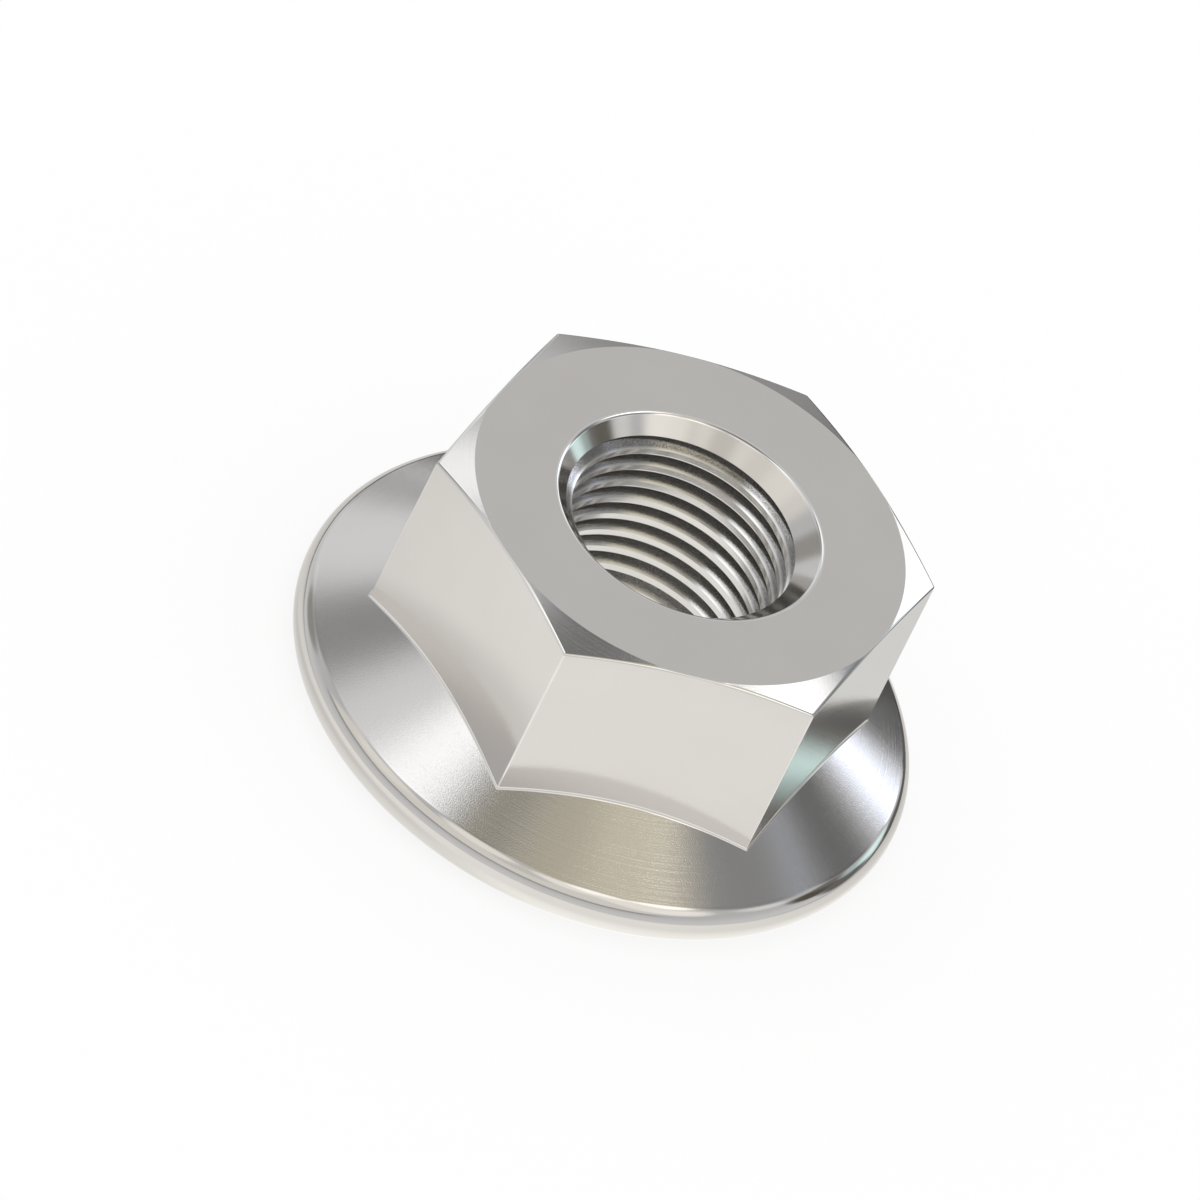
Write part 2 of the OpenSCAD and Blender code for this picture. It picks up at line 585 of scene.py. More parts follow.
@dataclass
class Normals:
    """The true normals of the nut's surfaces, so that the steel mirrors as turned surfaces do.

    A sum of normals shorter than least_sum has no clear direction.
    """

    rim_centre_r: float
    rim_r: float
    thread_columns: int
    least_sum: float = 0.1

    def turned(self, normal: Vector, point: Vector, centre: Vector) -> Vector:
        """Normal of a cone at a point.

        Args:
            normal: the normal of the flat strip that stands for the cone there.
            point: the point.
            centre: the strip's centre.

        Returns:
            A unit vector.
        """
        across = math.hypot(normal.x, normal.y)
        if normal.x * centre.x + normal.y * centre.y < 0:
            across = -across
        around = math.atan2(point.y, point.x)
        return Vector((across * math.cos(around), across * math.sin(around), normal.z))

    def rolled(self, point: Vector) -> Vector:
        """Normal of the full-round rim.

        Args:
            point: a point on the rim.

        Returns:
            A unit vector.
        """
        radius = math.hypot(point.x, point.y)
        out = (radius - self.rim_centre_r) / radius
        return Vector((point.x * out, point.y * out, point.z - self.rim_r)).normalized()

    def tapped(self, normal: Vector, point: Vector, centre: Vector) -> Vector:
        """Normal of the thread at a point: that of the strip, turned on by the angle between them.

        Args:
            normal: the normal of the flat strip that stands for the thread there.
            point: the point.
            centre: the strip's centre.

        Returns:
            A unit vector.
        """
        width = FULL_TURN / self.thread_columns
        middle = (math.floor(math.atan2(centre.y, centre.x) / width) + 0.5) * width
        turn = math.atan2(point.y, point.x) - middle
        return Matrix.Rotation(turn, 3, "Z") @ normal

    def at(self, kind: int, normal: Vector, point: Vector, centre: Vector) -> Vector:
        """The true normal at one corner of a face.

        Args:
            kind: the surface that the face belongs to.
            normal: the face's own normal.
            point: the corner.
            centre: the face's centre.

        Returns:
            A unit vector that points out of the steel.
        """
        if kind == Face.ROLLED:
            return self.rolled(point)
        if kind == Face.TAPPED:
            return self.tapped(normal, point, centre)
        if kind in (Face.TURNED, Face.SUNK):
            return self.turned(normal, point, centre)
        return normal.copy()

    def apply(self, mesh: bpy.types.Mesh) -> None:
        """Sets the normals of a whole mesh. Rounded edges take those of the surfaces they join.

        Args:
            mesh: the mesh of the nut, in millimetres.
        """
        mesh.polygons.foreach_set("use_smooth", [True] * len(mesh.polygons))
        joined = [Vector() for _ in mesh.vertices]
        own = [Vector() for _ in mesh.vertices]
        corners = [Vector() for _ in mesh.loops]
        for face in mesh.polygons:
            edge = face.material_index == Face.BROKEN_EDGE
            for loop in face.loop_indices:
                number = mesh.loops[loop].vertex_index
                point = mesh.vertices[number].co
                if edge:
                    own[number] += face.normal * face.area
                else:
                    kind = face.material_index
                    corners[loop] = self.at(kind, face.normal, point, face.center)
                    joined[number] += corners[loop]
        for face in mesh.polygons:
            if face.material_index == Face.BROKEN_EDGE:
                for loop in face.loop_indices:
                    number = mesh.loops[loop].vertex_index
                    clear = joined[number].length > self.least_sum
                    corners[loop] = joined[number] if clear else own[number]
        mesh.normals_split_custom_set([tuple(corner.normalized()) for corner in corners])


@dataclass
class NutBody:
    """The whole nut: one blank with its thread, countersinks and serrations cut into it.

    Its outer sizes come from the frame's solid.
    """

    name: str = "nut_body"
    plain_ring: float = 0.1
    low: Vector = field(default_factory=lambda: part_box(NODE)[0])
    high: Vector = field(default_factory=lambda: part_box(NODE)[1])

    def build(self) -> bpy.types.Object:
        """Makes the nut, with the true normals of every surface.

        Returns:
            The object, whose mesh is in metres.
        """
        height = self.high.z / MM
        blank = Blank(height=height, flange_d=(self.high.x - self.low.x) / MM)
        sinks = Countersinks(height=height)
        thread = Thread()
        body = as_object(blank.build(), self.name)
        cut(body, as_object(thread.build(), "tap"))
        cut(body, as_object(sinks.top(), "top_countersink"))
        cut(body, as_object(sinks.base(), "base_countersink"))
        teeth = Serrations(outer_r=blank.rim_centre_r - self.plain_ring)
        cut(body, teeth.build())
        Normals(blank.rim_centre_r, blank.rim_r, thread.columns).apply(body.data)
        body.data.transform(Matrix.Scale(MM, 4))
        return body

    def dress(self, body: bpy.types.Object) -> None:
        """Gives each surface its finish, ties the nut to its body, and hides the frame's own solid.

        Args:
            body: the nut that build() made.
        """
        for face, finish in FINISHES.items():
            body.data.materials[face] = finish.material()
        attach(body, "root")
        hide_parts(NODE)


def linear(hex_colour: str) -> tuple[float, float, float, float]:
    """Turns an sRGB colour to linear, by the standard's own curve.

    Args:
        hex_colour: the colour, as #RRGGBB.

    Returns:
        Linear red, green, blue and alpha.
    """
    parts = [int(hex_colour[first:first + 2], 16) / 255 for first in (1, 3, 5)]
    turned = [
        part / 12.92 if part <= 0.04045 else ((part + 0.055) / 1.055) ** 2.4 for part in parts
    ]
    return (*turned, 1.0)


def add(
    tree: bpy.types.NodeTree,
    kind: str,
    inputs: dict[str | int, object] | None = None,
    **settings: object,
) -> bpy.types.Node:
    """Adds a node with its settings, values and links.

    Args:
        tree: the node tree.
        kind: Blender's name of the node type.
        inputs: for each input, by name or number, a value or the socket that feeds it.
        settings: the node's own properties.

    Returns:
        The new node.
    """
    node = tree.nodes.new(kind)
    for name, value in settings.items():
        setattr(node, name, value)
    for key, value in (inputs or {}).items():
        if isinstance(value, bpy.types.NodeSocket):
            tree.links.new(value, node.inputs[key])
        else:
            node.inputs[key].default_value = value
    return node


def places(tree: bpy.types.NodeTree) -> bpy.types.NodeSocket:
    """Gives each point of an object its own place, measured from the object's origin.

    Args:
        tree: the material's node tree.

    Returns:
        The socket that gives the place, in millimetres.
    """
    metres = add(tree, "ShaderNodeTexCoord").outputs["Object"]
    return add(
        tree, "ShaderNodeVectorMath", {0: metres, "Scale": 1 / MM}, operation="SCALE"
    ).outputs[0]


class Lay(Enum):
    """Which way the tool marks of a surface run."""

    NONE = "none"
    AROUND = "around the axis"
    UP = "along the axis"


@dataclass(frozen=True)
class Steel:
    """One finish of the stainless steel. Sizes and depths of its marks are in millimetres.

    The colour darkens towards a root colour, where one is given, between crest_r and root_r: painted
    shade in the root of a thread. A speckle hides a share of that painted shade, within
    speckle_share.
    Of each noise only a middle range is used, because a noise seldom leaves it.
    """

    name: str
    colour: str = "#DDDAD7"
    mottle_colour: str = "#D8D5D2"
    mottle_size: float = 1.4
    root_shade_colour: str = ""
    speckle_size: float = 0.026
    crest_r: float = 2.565
    root_r: float = 2.63
    metallic: float = 1.0
    roughness: float = 0.13
    roughness_spread: float = 0.05
    grain_size: float = 0.045
    grain_depth: float = 0.0004
    lay: Lay = Lay.NONE
    line_spacing: float = 0.05
    line_length: float = 4.0
    line_depth: float = 0.0004
    wave_size: float = 1.0
    wave_depth: float = 0.0
    noise_roughness: float = 0.6
    speckle_range: tuple[float, float] = (0.3, 0.7)
    speckle_share: tuple[float, float] = (0.35, 0.95)
    gloss_range: tuple[float, float] = (0.25, 0.75)

    def lines(
        self, tree: bpy.types.NodeTree, where: bpy.types.NodeSocket
    ) -> bpy.types.NodeSocket:
        """Fine tool marks from 0 to 1, long one way and narrow the other, without a seam.

        Args:
            tree: the material's node tree.
            where: the place on the piece, in millimetres.

        Returns:
            The socket that gives the marks.
        """
        fine = 1 / self.line_spacing
        if self.lay is Lay.UP:
            stretched = add(tree, "ShaderNodeVectorMath", {
                0: where, 1: (fine, fine, 1 / self.line_length),
            }, operation="MULTIPLY")
            return add(tree, "ShaderNodeTexNoise", {
                "Vector": stretched.outputs[0], "Scale": 1.0, "Detail": 2.0,
            }).outputs[0]
        level = add(tree, "ShaderNodeVectorMath", {
            0: where, 1: LEVEL,
        }, operation="MULTIPLY").outputs[0]
        radius = add(tree, "ShaderNodeVectorMath", {0: level}, operation="LENGTH")
        unit = add(tree, "ShaderNodeVectorMath", {0: level}, operation="NORMALIZE")
        around = add(tree, "ShaderNodeVectorMath", {
            0: unit.outputs[0], "Scale": FULL_TURN / self.line_length,
        }, operation="SCALE")
        out = add(tree, "ShaderNodeMath", {
            0: radius.outputs["Value"], 1: fine,
        }, operation="MULTIPLY")
        height = add(tree, "ShaderNodeSeparateXYZ", {0: where}).outputs["Z"]
        up = add(tree, "ShaderNodeMath", {0: height, 1: fine}, operation="MULTIPLY")
        outward = add(tree, "ShaderNodeCombineXYZ", {"Z": out.outputs[0]})
        both = add(tree, "ShaderNodeVectorMath", {
            0: around.outputs[0], 1: outward.outputs[0],
        }, operation="ADD")
        return add(tree, "ShaderNodeTexNoise", {
            "Vector": both.outputs[0], "W": up.outputs[0], "Scale": 1.0, "Detail": 2.0,
        }, noise_dimensions="4D").outputs[0]

    def tone(self, tree: bpy.types.NodeTree, where: bpy.types.NodeSocket) -> bpy.types.NodeSocket:
        """The colour: faintly mottled, and darker towards the root of a thread, as painted shade.

        Args:
            tree: the material's node tree.
            where: the place on the piece, in millimetres.

        Returns:
            The socket that gives the colour.
        """
        mottle = add(tree, "ShaderNodeTexNoise", {
            "Vector": where, "Scale": 1 / self.mottle_size, "Detail": 3.0,
            "Roughness": self.noise_roughness,
        })
        colour = add(tree, "ShaderNodeMix", {
            "Factor": mottle.outputs[0], 6: linear(self.colour), 7: linear(self.mottle_colour),
        }, data_type="RGBA").outputs[2]
        # Painted shade: the colour darkens towards the root of a thread, broken up by a speckle.
        if not self.root_shade_colour:
            return colour
        level = add(tree, "ShaderNodeVectorMath", {0: where, 1: LEVEL}, operation="MULTIPLY")
        radius = add(tree, "ShaderNodeVectorMath", {0: level.outputs[0]}, operation="LENGTH")
        depth = add(tree, "ShaderNodeMapRange", {
            "Value": radius.outputs["Value"], "From Min": self.crest_r, "From Max": self.root_r,
        }, interpolation_type="SMOOTHSTEP").outputs["Result"]
        shade_speckle_noise = add(tree, "ShaderNodeTexNoise", {
            "Vector": where, "Scale": 1 / self.speckle_size, "Detail": 1.0,
            "Roughness": self.noise_roughness,
        })
        shade_speckle = add(tree, "ShaderNodeMapRange", {
            "Value": shade_speckle_noise.outputs[0],
            "From Min": self.speckle_range[0], "From Max": self.speckle_range[1],
            "To Min": self.speckle_share[0], "To Max": self.speckle_share[1],
        }).outputs["Result"]
        share = add(tree, "ShaderNodeMath", {0: depth, 1: shade_speckle}, operation="MULTIPLY")
        return add(tree, "ShaderNodeMix", {
            "Factor": share.outputs[0], 6: colour, 7: linear(self.root_shade_colour),
        }, data_type="RGBA").outputs[2]

    def material(self) -> bpy.types.Material:
        """Makes the finish's material: metal with its mottle, grain, tool marks and waves.

        Returns:
            The material.
        """
        made = bpy.data.materials.new(self.name)
        made.use_nodes = True
        tree = made.node_tree
        tree.nodes.clear()
        where = places(tree)
        grain = add(tree, "ShaderNodeTexNoise", {
            "Vector": where, "Scale": 1 / self.grain_size, "Detail": 1.0,
            "Roughness": self.noise_roughness,
        }).outputs[0]
        height = add(tree, "ShaderNodeMath", {
            0: grain, 1: self.grain_depth * MM,
        }, operation="MULTIPLY").outputs[0]
        if self.lay is not Lay.NONE:
            height = add(tree, "ShaderNodeMath", {
                0: self.lines(tree, where), 1: self.line_depth * MM, 2: height,
            }, operation="MULTIPLY_ADD").outputs[0]
        if self.wave_depth:
            wave = add(tree, "ShaderNodeTexNoise", {
                "Vector": where, "Scale": 1 / self.wave_size, "Detail": 0.0,
            })
            height = add(tree, "ShaderNodeMath", {
                0: wave.outputs[0], 1: self.wave_depth * MM, 2: height,
            }, operation="MULTIPLY_ADD").outputs[0]
        bump = add(tree, "ShaderNodeBump", {"Height": height, "Distance": 1.0, "Strength": 1.0})
        gloss = add(tree, "ShaderNodeMapRange", {
            "Value": grain, "From Min": self.gloss_range[0], "From Max": self.gloss_range[1],
            "To Min": self.roughness - self.roughness_spread / 2,
            "To Max": self.roughness + self.roughness_spread / 2,
        })
        shader = add(tree, "ShaderNodeBsdfPrincipled", {
            "Base Color": self.tone(tree, where), "Metallic": self.metallic,
            "Roughness": gloss.outputs["Result"], "Normal": bump.outputs["Normal"],
        })
        add(tree, "ShaderNodeOutputMaterial", {"Surface": shader.outputs[0]})
        return made


FINISHES = {
    # Bright-drawn bar: the die leaves it smooth, with a fine grain that dulls the mirror a little.
    Face.DRAWN: Steel(
        "bright_drawn_steel", roughness=0.09, grain_size=0.03, grain_depth=0.0006, lay=Lay.UP,
        line_depth=0.0002,
    ),
    # Turned cone and crown: hair-fine rings from the tool drag the highlights out sideways, and a
    # grain, drawn coarser than the real one so that it shows, makes their edges sparkle.
    Face.TURNED: Steel(
        "turned_steel", roughness=0.11, grain_size=0.024, grain_depth=0.0017, lay=Lay.AROUND,
        line_spacing=0.05, line_length=6.0, line_depth=0.0018,
    ),
    # Rolled rim: pressed smooth, with slow waves that bend the bands of light.
    Face.ROLLED: Steel(
        "rolled_steel", roughness=0.06, grain_depth=0.0002, lay=Lay.AROUND, line_spacing=0.08,
        line_depth=0.0003, wave_size=0.9, wave_depth=0.006,
    ),
    # Rounded edges: paler than the rest of the steel, a painted highlight that brightens their lines
    # of light.
    Face.BROKEN_EDGE: Steel(
        "highlighted_edge_steel", colour="#F6F4F2", roughness=0.05, grain_depth=0.0001,
    ),
    # Tapped thread: torn a little by the tap and dulled by a film of old cutting oil. Its colour
    # darkens towards the root in a coarse speckle: painted shade in the grooves. The speckle of
    # the oil is drawn coarser than the real one.
    Face.TAPPED: Steel(
        "tapped_steel", colour="#EFEDEA", mottle_colour="#E4E2DF", root_shade_colour="#757370",
        metallic=0.86, roughness=0.13, roughness_spread=0.05, grain_size=0.03, grain_depth=0.0005,
    ),
    # Countersinks: cut clean in one turn of the tool, so nearly a mirror, under a trace of oil.
    Face.SUNK: Steel(
        "countersunk_steel", mottle_colour="#D8D4D0", metallic=0.95, roughness=0.11,
        grain_depth=0.0003, lay=Lay.AROUND, line_depth=0.0003,
    ),
    # Pressed serrations: the die's own texture, a soft satin.
    Face.PRESSED: Steel(
        "pressed_steel", roughness=0.2, roughness_spread=0.1, grain_size=0.06, grain_depth=0.002,
    ),
    # Faced land: rings too shallow to see one by one, so it reflects as an even grey.
    Face.FACED: Steel(
        "faced_steel", roughness=0.13, grain_depth=0.0003, lay=Lay.AROUND, line_depth=0.0002,
    ),
}


class Tint(Enum):
    """Colours of the studio's light, as the steel shows them."""

    COOL = "#FBFDFF"
    WHITE = "#FFFFFF"
    FLOOR = "#FFFEFB"
    WARM = "#FFFDF7"
    SAND = "#FFF8E2"
    BLUE = "#E8EFFF"
    TEAL = "#E0FCFB"

    def light(self, level: float) -> tuple[float, float, float, float]:
        """The colour at the given brightness, as linear red, green, blue and alpha."""
        return (*(part * level for part in linear(self.value)[:3]), 1.0)


@dataclass(frozen=True)
class Panel:
    """A round softbox or dark flag of the studio, as the steel sees it. All sizes are in degrees.

    Azimuth 0 is to the camera's right and 90 is away from it.
    """

    azimuth: float
    elevation: float
    radius: float
    feather: float
    level: float
    tint: Tint = Tint.COOL

    def mask(
        self, tree: bpy.types.NodeTree, where: bpy.types.NodeSocket, turn: float
    ) -> bpy.types.NodeSocket:
        """How much of the panel a direction sees, from 0 to 1.

        Args:
            tree: the world's node tree.
            where: the direction.
            turn: how far the camera is turned round the nut, in degrees.

        Returns:
            The socket that gives the share.
        """
        azimuth = math.radians(self.azimuth + turn)
        elevation = math.radians(self.elevation)
        flat = math.cos(elevation)
        aim = (flat * math.cos(azimuth), flat * math.sin(azimuth), math.sin(elevation))
        near = add(tree, "ShaderNodeVectorMath", {0: where, 1: aim}, operation="DOT_PRODUCT")
        inner = math.cos(math.radians(max(0.0, self.radius - self.feather / 2)))
        outer = math.cos(math.radians(self.radius + self.feather))
        return add(tree, "ShaderNodeMapRange", {
            "Value": near.outputs["Value"], "From Min": outer, "From Max": inner,
        }, interpolation_type="SMOOTHSTEP").outputs["Result"]


@dataclass
class Camera:
    """A parallel view from above, turned and rolled as the photograph's is."""

    azimuth: float = -19.2
    elevation: float = 40.987
    roll: float = 26.825
    pixels_per_mm: float = 45.925
    image_side: float = 1200.0
    land_centre_px: tuple[float, float] = (690.26, 516.01)
    distance: float = 200.0
    clip: tuple[float, float] = (0.001, 10.0)

    def build(self) -> bpy.types.Object:
        """Places the camera so that the centre of the top land falls on its pixel.

        Returns:
            The camera.
        """
        around, up, roll = (
            math.radians(angle) for angle in (self.azimuth, self.elevation, self.roll)
        )
        flat = math.cos(up)
        back = Vector((math.sin(around) * flat, -math.cos(around) * flat, math.sin(up)))
        level = Vector((math.cos(around), math.sin(around), 0.0))
        upright = back.cross(level)
        right = level * math.cos(roll) + upright * math.sin(roll)
        top = back.cross(right)
        middle = self.image_side / 2
        aside = (middle - self.land_centre_px[0]) / self.pixels_per_mm
        above = (self.land_centre_px[1] - middle) / self.pixels_per_mm
        target = Vector((0, 0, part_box(NODE)[1].z / MM)) + right * aside + top * above
        data = bpy.data.cameras.new("camera")
        data.type = "ORTHO"
        data.ortho_scale = self.image_side / self.pixels_per_mm * MM
        data.clip_start, data.clip_end = self.clip
        camera = bpy.data.objects.new("camera", data)
        turned = Matrix((right, top, back)).transposed().to_4x4()
        camera.matrix_world = Matrix.Translation((target + back * self.distance) * MM) @ turned
        bpy.context.scene.collection.objects.link(camera)
        bpy.context.scene.camera = camera
        return camera


@dataclass(frozen=True)
class Flag:
    """A small dark card that stands on the floor beside the nut, out of the picture.

    Only the steel's reflections see it. Sizes are in millimetres, and azimuth is as for a panel.
    """

    name: str
    azimuth: float
    distance: float
    width: float
    height: float
    level: float

    def build(self, turn: float) -> bpy.types.Object:
        """Stands the card on the floor, square to the line from the nut.

        Args:
            turn: how far the camera is turned round the nut, in degrees.

        Returns:
            The card.
        """
        shape = bmesh.new()
        bmesh.ops.create_grid(shape, x_segments=1, y_segments=1, size=0.5)
        bmesh.ops.rotate(shape, matrix=Matrix.Rotation(math.pi / 2, 3, "X"), verts=shape.verts)
        bmesh.ops.translate(shape, vec=(0, self.distance, 0.5), verts=shape.verts)
        bmesh.ops.scale(shape, vec=(self.width * MM, MM, self.height * MM), verts=shape.verts)
        around = math.radians(self.azimuth + turn) - math.pi / 2
        bmesh.ops.rotate(shape, matrix=Matrix.Rotation(around, 3, "Z"), verts=shape.verts)
        mesh = bpy.data.meshes.new(self.name)
        shape.to_mesh(mesh)
        shape.free()
        made = bpy.data.materials.new(self.name + "_card")
        made.use_nodes = True
        tree = made.node_tree
        tree.nodes.clear()
        dark = add(tree, "ShaderNodeEmission", {"Color": (1, 1, 1, 1), "Strength": self.level})
        add(tree, "ShaderNodeOutputMaterial", {"Surface": dark.outputs[0]})
        mesh.materials.append(made)
        card = bpy.data.objects.new(self.name, mesh)
        card.visible_camera = False
        card.visible_diffuse = False
        card.visible_shadow = False
        bpy.context.scene.collection.objects.link(card)
        return card


@dataclass(frozen=True)
class Fade:
    """A brightness that passes from one value to another between two distances in millimetres."""

    start: float
    end: float
    at_start: float
    at_end: float


@dataclass(frozen=True)
class Shade:
    """A round dark patch of the floor, as the steel sees it. Lengths are in millimetres."""

    azimuth: float
    distance: float
    radius: float
    feather: float
    level: float

    def centre(self, turn: float) -> tuple[float, float, float]:
        """Where the middle of the patch lies.

        Args:
            turn: how far the camera is turned round the nut, in degrees.

        Returns:
            The place, in millimetres.
        """
        around = math.radians(self.azimuth + turn)
        return (self.distance * math.cos(around), self.distance * math.sin(around), 0.0)

    def fade(self) -> Fade:
        """How the patch's brightness ends outwards."""
        return Fade(self.radius, self.radius + self.feather, self.level, 1.0)


@dataclass(frozen=True)
class Strip:
    """A long level softbox or flag round the front of the studio. All sizes are in degrees."""

    azimuth: float
    half_width: float
    low: float
    high: float
    feather: float
    level: float
    tint: Tint = Tint.COOL
    side_feather: float = 10.0

    def mask(
        self, tree: bpy.types.NodeTree, where: bpy.types.NodeSocket, turn: float
    ) -> bpy.types.NodeSocket:
        """How much of the strip a direction sees, from 0 to 1.

        Args:
            tree: the world's node tree.
            where: the direction.
            turn: how far the camera is turned round the nut, in degrees.

        Returns:
            The socket that gives the share.
        """
        around = math.radians(self.azimuth + turn)
        aim = (math.cos(around), math.sin(around), 0.0)
        height = add(tree, "ShaderNodeSeparateXYZ", {0: where}).outputs["Z"]
        level = add(tree, "ShaderNodeVectorMath", {0: where, 1: LEVEL}, operation="MULTIPLY")
        unit = add(tree, "ShaderNodeVectorMath", {0: level.outputs[0]}, operation="NORMALIZE")
        ahead = add(tree, "ShaderNodeVectorMath", {
            0: unit.outputs[0], 1: aim,
        }, operation="DOT_PRODUCT").outputs["Value"]
        lower = [math.sin(math.radians(angle)) for angle in (self.low - self.feather, self.low)]
        upper = [math.sin(math.radians(angle)) for angle in (self.high + self.feather, self.high)]
        side = [
            math.cos(math.radians(angle))
            for angle in (self.half_width + self.side_feather, self.half_width)
        ]
        share = None
        for value, (start, end) in ((height, lower), (height, upper), (ahead, side)):
            part = add(tree, "ShaderNodeMapRange", {
                "Value": value, "From Min": start, "From Max": end,
            }, interpolation_type="SMOOTHSTEP").outputs["Result"]
            share = part if share is None else add(
                tree, "ShaderNodeMath", {0: share, 1: part}, operation="MULTIPLY"
            ).outputs[0]
        return share


@dataclass
class Studio:
    """A pale floor under a soft world, whose panels and strips only the steel's reflections see.

    The floor's own fades, from the axis outwards or from the nut to the front and the back, also
    show in those reflections only. A later panel covers an earlier one.
    """

    turn: float = -19.2
    floor_size: float = 0.08
    floor_glow: float = 0.8
    floor_front: Fade = Fade(-6.0, 9.0, 0.78, 1.06)
    floor_back: Fade = Fade(-13.0, -9.5, 0.13, 1.0)
    floor_bore: Fade = Fade(2.7, 3.0, 1.16, 0.45)
    floor_under: Fade = Fade(6.0, 6.6, 1.0, 2.222)
    floor_near: Fade = Fade(7.1, 8.0, 1.14, 0.95)
    floor_far: Fade = Fade(11.0, 18.0, 1.0, 0.74)
    shades: tuple[Shade, ...] = (
        Shade(azimuth=220, distance=3, radius=5, feather=1.2, level=0.8),
        Shade(azimuth=41, distance=15.8, radius=1.9, feather=0.8, level=0.32),
        Shade(azimuth=42, distance=27, radius=9, feather=2, level=0.13),
        Shade(azimuth=78, distance=25, radius=14.5, feather=1.2, level=0.15),
    )
    wall_level: float = 0.62
    horizon_level: float = 0.76
    horizon_height: float = 0.45
    flags: tuple[Flag, ...] = (
        Flag("flag", azimuth=40, distance=16.6, width=8, height=2.0, level=0.14),
    )
    strips: tuple[Strip, ...] = (
        Strip(-109, half_width=64, low=20.0, high=23.5, feather=1.5, level=0.42, tint=Tint.WARM),
        Strip(-109, half_width=64, low=27.0, high=50, feather=2.5, level=0.84, tint=Tint.WARM),
    )
    panels: tuple[Panel, ...] = (
        Panel(-152, 44, 9, 6, 0.94, Tint.WARM),
        Panel(-88, 49, 6, 6, 0.7, Tint.WARM),
        Panel(-30, 41, 9, 7, 1.1, Tint.WARM),
        Panel(4, 34, 5, 5, 0.85, Tint.WHITE),
        Panel(155, 20, 8, 6, 0.35, Tint.WARM),
        Panel(18, 20, 8, 4, 0.11, Tint.SAND),
        Panel(90, 41, 10, 6, 0.64, Tint.WHITE),
        Panel(-20, 69, 14, 12, 0.71, Tint.SAND),
        Panel(-62, 79, 5, 6, 0.56, Tint.SAND),
        Panel(-108, 59, 9, 4, 1.0, Tint.WARM),
        Panel(-64, 58, 8, 4, 1.05, Tint.WARM),
        Panel(-46, 62, 6, 3, 1.4, Tint.WARM),
        Panel(-20, 57, 6, 3, 1.5, Tint.WARM),
        Panel(-40, 50, 7, 5, 1.05, Tint.WARM),
        Panel(158, 50, 6, 10, 0.56),
        Panel(168, 58, 6, 9, 0.87),
        Panel(-169, 67, 4, 8, 1.48),
        Panel(140, 84, 10, 5, 0.21),
        Panel(-125, 77, 4, 4, 0.36, Tint.SAND),
        Panel(16, 50, 9, 8, 0.3),
        Panel(30, 41, 2, 3, 0.5, Tint.BLUE),
        Panel(40, 32, 7, 5, 0.18),
        Panel(50, 58, 6.5, 6.5, 1.85),
        Panel(53, 43, 4, 4, 0.3, Tint.BLUE),
        Panel(61.3, 25, 8, 2, 1.95, Tint.BLUE),
        Panel(56.7, 17.2, 5.2, 1.6, 2.0, Tint.BLUE),
        Panel(66.5, 5.5, 4.6, 2, 0.15),
        Panel(71, 1, 3, 2, 0.2),
        Panel(73, 15, 6.5, 3, 1.5),
        Panel(27, 8, 9, 4, 0.17, Tint.WARM),
        Panel(34, 16, 3, 5, 0.66, Tint.TEAL),
        Panel(26, 25, 3.5, 4, 0.2, Tint.WARM),
        Panel(49, 1, 6, 4, 0.26, Tint.WARM),
        Panel(38, -6, 6, 3, 0.12),
        Panel(41, 11, 4, 5.5, 1.25, Tint.TEAL),
        Panel(147, 39, 6, 7, 0.34),
        Panel(125, 45, 7, 6, 1.3),
        Panel(128, 20, 9, 7, 0.86),
        Panel(112, 4, 6, 6, 0.5),
        Panel(107, -2, 3, 5, 0.78),
        Panel(92, 3, 13, 6, 0.35, Tint.WHITE),
        Panel(77, -6, 9, 3, 0.08),
        Panel(-90, -55, 22, 16, 1.5),
        Panel(60, -40, 25, 14, 0.2),
        Panel(180, -30, 15, 10, 1.1),
    )

    def mirrored_level(self, tree: bpy.types.NodeTree) -> bpy.types.NodeSocket:
        """How bright the steel sees the floor: brightest near the nut, dim behind it and far away.

        Where dark patches overlap, the darkest one counts. The fades then dim or lift the result.

        Args:
            tree: the node tree of the floor's material.

        Returns:
            The socket that gives the brightness.
        """
        where = places(tree)
        towards = math.radians(self.turn)
        front = add(tree, "ShaderNodeVectorMath", {
            0: where, 1: (math.sin(towards), -math.cos(towards), 0.0),
        }, operation="DOT_PRODUCT").outputs["Value"]
        radius = add(tree, "ShaderNodeVectorMath", {
            0: where,
        }, operation="LENGTH").outputs["Value"]
        darks = [(front, self.floor_back)]
        for shade in self.shades:
            away = add(tree, "ShaderNodeVectorMath", {
                0: where, 1: shade.centre(self.turn),
            }, operation="DISTANCE")
            darks.append((away.outputs["Value"], shade.fade()))
        fades = [
            (front, self.floor_front), (radius, self.floor_bore), (radius, self.floor_under),
            (radius, self.floor_near), (radius, self.floor_far),
        ]
        level = None
        for operation, group in (("MINIMUM", darks), ("MULTIPLY", fades)):
            for value, fade in group:
                part = add(tree, "ShaderNodeMapRange", {
                    "Value": value, "From Min": fade.start, "From Max": fade.end,
                    "To Min": fade.at_start, "To Max": fade.at_end,
                }, interpolation_type="SMOOTHSTEP").outputs["Result"]
                level = part if level is None else add(
                    tree, "ShaderNodeMath", {0: level, 1: part}, operation=operation
                ).outputs[0]
        return level

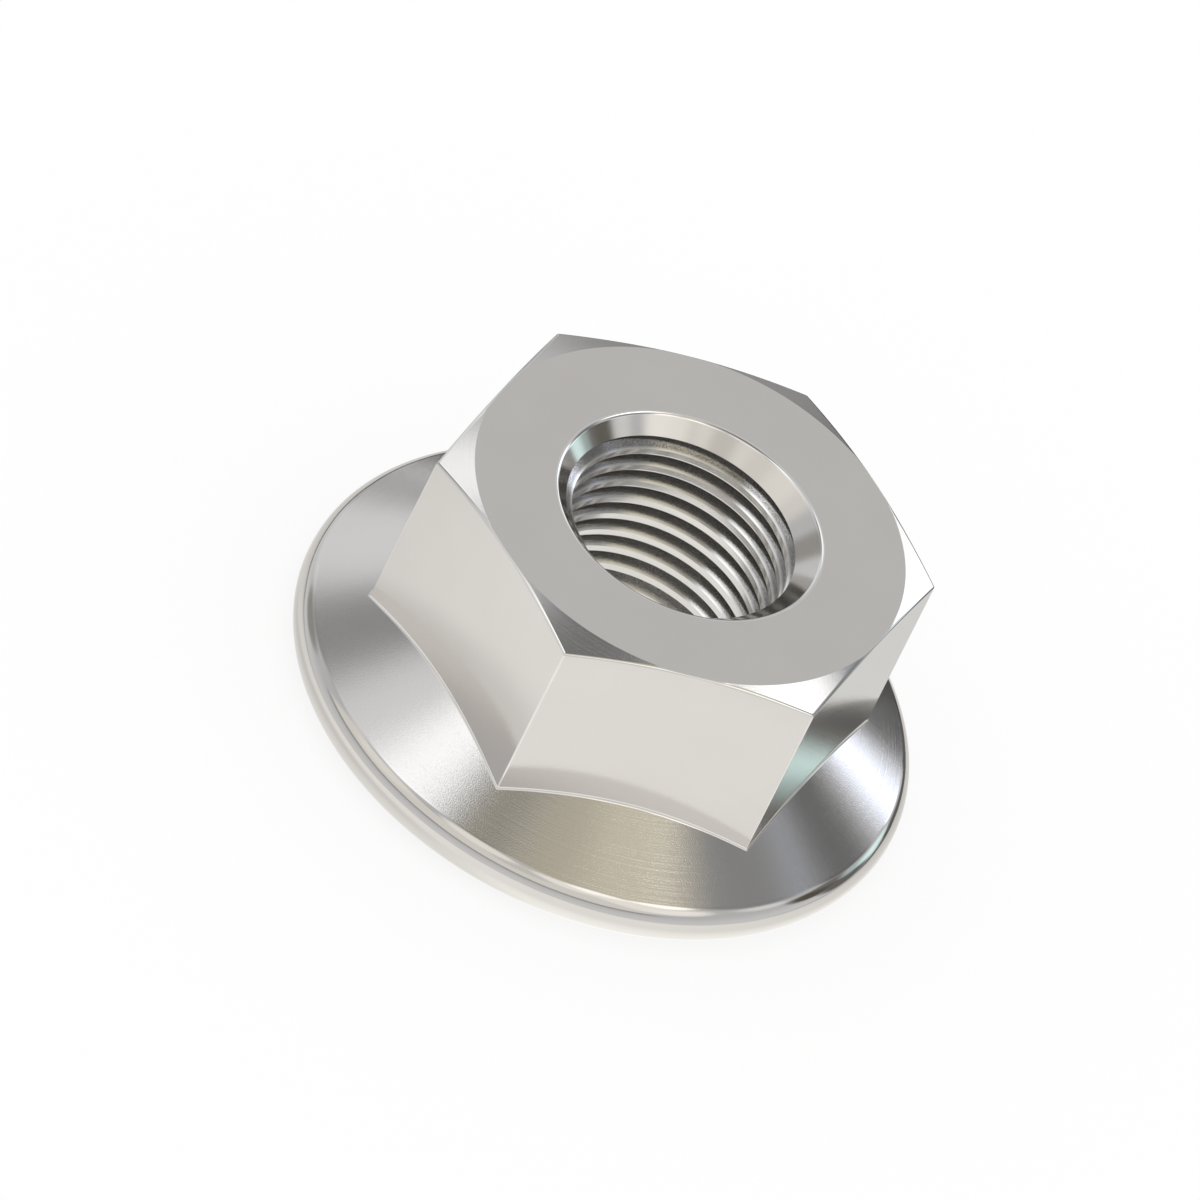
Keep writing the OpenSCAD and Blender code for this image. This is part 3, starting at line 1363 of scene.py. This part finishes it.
    def floor(self) -> bpy.types.Object:
        """The floor that the nut rests on. A camera below it sees through it.

        Returns:
            The floor.
        """
        shape = bmesh.new()
        bmesh.ops.create_grid(shape, x_segments=1, y_segments=1, size=self.floor_size / 2)
        mesh = bpy.data.meshes.new("floor")
        shape.to_mesh(mesh)
        shape.free()
        floor = bpy.data.objects.new("floor", mesh)
        bpy.context.scene.collection.objects.link(floor)
        made = bpy.data.materials.new("floor_white")
        made.use_nodes = True
        tree = made.node_tree
        tree.nodes.clear()
        matt = 1 - self.floor_glow
        white = add(tree, "ShaderNodeBsdfDiffuse", {"Color": (matt, matt, matt, 1)})
        glow = add(tree, "ShaderNodeEmission", {"Color": (1, 1, 1, 1), "Strength": self.floor_glow})
        both = add(tree, "ShaderNodeAddShader", {0: white.outputs[0], 1: glow.outputs[0]})
        path = add(tree, "ShaderNodeLightPath")
        mirrored = add(tree, "ShaderNodeEmission", {
            "Color": Tint.FLOOR.light(1.0), "Strength": self.mirrored_level(tree),
        })
        both = add(tree, "ShaderNodeMixShader", {
            0: path.outputs["Is Glossy Ray"], 1: both.outputs[0], 2: mirrored.outputs[0],
        })
        back = add(tree, "ShaderNodeNewGeometry").outputs["Backfacing"]
        passed = path.outputs["Transparent Depth"]
        below = add(tree, "ShaderNodeMath", {0: back, 1: passed}, operation="ADD", use_clamp=True)
        clear = add(tree, "ShaderNodeBsdfTransparent")
        shown = add(tree, "ShaderNodeMixShader", {
            0: below.outputs[0], 1: both.outputs[0], 2: clear.outputs[0],
        })
        add(tree, "ShaderNodeOutputMaterial", {"Surface": shown.outputs[0]})
        mesh.materials.append(made)
        return floor

    def world(self) -> bpy.types.World:
        """White for the camera and the floor, and panels and strips for the steel.

        Returns:
            The world.
        """
        made = bpy.data.worlds.new("studio")
        bpy.context.scene.world = made
        made.use_nodes = True
        tree = made.node_tree
        tree.nodes.clear()
        where = add(tree, "ShaderNodeTexCoord").outputs["Generated"]
        height = add(tree, "ShaderNodeSeparateXYZ", {0: where}).outputs["Z"]
        walls = add(tree, "ShaderNodeMapRange", {
            "Value": height, "From Min": 0.0, "From Max": self.horizon_height,
            "To Min": self.horizon_level, "To Max": self.wall_level,
        }, interpolation_type="SMOOTHSTEP")
        light = add(tree, "ShaderNodeVectorMath", {
            0: Tint.COOL.light(1.0)[:3], "Scale": walls.outputs[0],
        }, operation="SCALE").outputs["Vector"]
        for lamp in (*self.strips, *self.panels):
            light = add(tree, "ShaderNodeMix", {
                "Factor": lamp.mask(tree, where, self.turn),
                6: light,
                7: lamp.tint.light(lamp.level),
            }, data_type="RGBA").outputs[2]
        path = add(tree, "ShaderNodeLightPath")
        shown = add(tree, "ShaderNodeMix", {
            "Factor": path.outputs["Is Glossy Ray"], 6: (1, 1, 1, 1), 7: light,
        }, data_type="RGBA")
        sky = add(tree, "ShaderNodeBackground", {"Color": shown.outputs[2], "Strength": 1.0})
        add(tree, "ShaderNodeOutputWorld", {"Surface": sky.outputs[0]})
        return made


def main() -> None:
    """Builds the nut, dresses it and sets the studio round it."""
    logging.basicConfig(level=logging.INFO, format="%(message)s")
    nut = NutBody()
    body = nut.build()
    nut.dress(body)
    LOG.info("%s: %d faces", body.name, len(body.data.polygons))
    Camera().build()
    bpy.context.scene.view_settings.view_transform = "Standard"
    studio = Studio()
    studio.floor()
    for flag in studio.flags:
        flag.build(studio.turn)
    studio.world()


if __name__ == "__main__":
    main()
